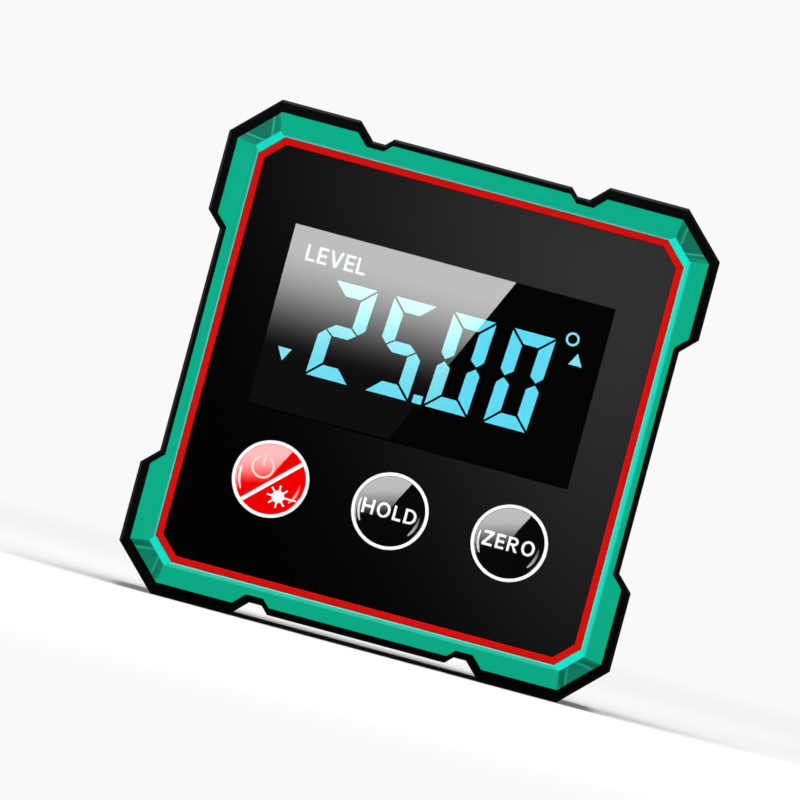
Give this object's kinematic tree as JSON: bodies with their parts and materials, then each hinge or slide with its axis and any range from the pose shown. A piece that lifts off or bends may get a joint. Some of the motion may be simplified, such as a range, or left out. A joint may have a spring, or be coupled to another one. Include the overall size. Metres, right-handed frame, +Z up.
{
  "type": "digital angle gauge",
  "caption": "Square digital angle gauge with a lit display, push buttons, flank lasers, a magnetic base and a hinged battery door.",
  "frame": {"origin": "middle of the base, on the surface that the feet stand on", "axes": "+Z up, -Y out of the display, +X to the right of someone who reads it"},
  "size_m": [0.06, 0.03, 0.0604],
  "materials": {
    "housing_black": "satin moulded",
    "frame_teal": "satin moulded",
    "trim_red": "semi-gloss",
    "panel_black": "satin",
    "window_clear": "polished",
    "collar_white": "semi-gloss",
    "button_red": "polished",
    "button_black": "polished",
    "switch_plastic": "plain",
    "display_dark": "polished",
    "holder_white": "plain",
    "strip_rubber": "plain",
    "board_green": "lacquered",
    "chip_black": "plain",
    "screw_steel": "plated",
    "laser_brass": "turned",
    "laser_lens": "polished",
    "magnet_nickel": "nickel plated",
    "cell_wrap": "wrapped",
    "contact_steel": "plated",
    "lead_red": "plain",
    "lead_black": "plain"
  },
  "bodies": {
    "gauge_body": {"main_housing": "housing_black", "back_cover": "housing_black", "front_frame": "frame_teal", "accent_ring": "trim_red", "front_panel": "panel_black", "display_window": "window_clear", "power_collar": "collar_white", "hold_collar": "collar_white", "zero_collar": "collar_white", "power_switch": "switch_plastic", "hold_switch": "switch_plastic", "zero_switch": "switch_plastic", "display_glass": "display_dark", "display_holder": "holder_white", "backlight": "holder_white", "upper_contact_strip": "strip_rubber", "lower_contact_strip": "strip_rubber", "circuit_board": "board_green", "controller_chip": "chip_black", "tilt_sensor": "chip_black", "board_screws": "screw_steel", "cover_screws": "screw_steel", "timing_crystal": "screw_steel", "left_laser": "laser_brass", "right_laser": "laser_brass", "left_laser_window": "laser_lens", "right_laser_window": "laser_lens", "front_left_magnet": "magnet_nickel", "front_right_magnet": "magnet_nickel", "rear_left_magnet": "magnet_nickel", "rear_right_magnet": "magnet_nickel", "upper_cell": "cell_wrap", "lower_cell": "cell_wrap", "bridge_contact": "contact_steel", "positive_contact": "contact_steel", "negative_contact": "contact_steel", "bridge_spring": "contact_steel", "negative_spring": "contact_steel", "positive_lead": "lead_red", "negative_lead": "lead_black", "left_laser_lead": "lead_black", "right_laser_lead": "lead_black"},
    "power_key": {"power_button": "button_red", "power_plunger": "switch_plastic"},
    "hold_key": {"hold_button": "button_black", "hold_plunger": "switch_plastic"},
    "zero_key": {"zero_button": "button_black", "zero_plunger": "switch_plastic"},
    "door": {"battery_door": "housing_black"}
  },
  "joints": [
    {"name": "power_press", "type": "slide", "parent": "gauge_body", "child": "power_key", "axis": [0, 1, 0], "range_m": [0, 0.0004], "stiffness_N_per_m": 3000},
    {"name": "hold_press", "type": "slide", "parent": "gauge_body", "child": "hold_key", "axis": [0, 1, 0], "range_m": [0, 0.0004], "stiffness_N_per_m": 3000},
    {"name": "zero_press", "type": "slide", "parent": "gauge_body", "child": "zero_key", "axis": [0, 1, 0], "range_m": [0, 0.0004], "stiffness_N_per_m": 3000},
    {"name": "door_hinge", "type": "hinge", "parent": "gauge_body", "child": "door", "pos_m": [0, 0.0143, 0.0187], "axis": [-1, 0, 0], "range_deg": [0, 85]}
  ]
}
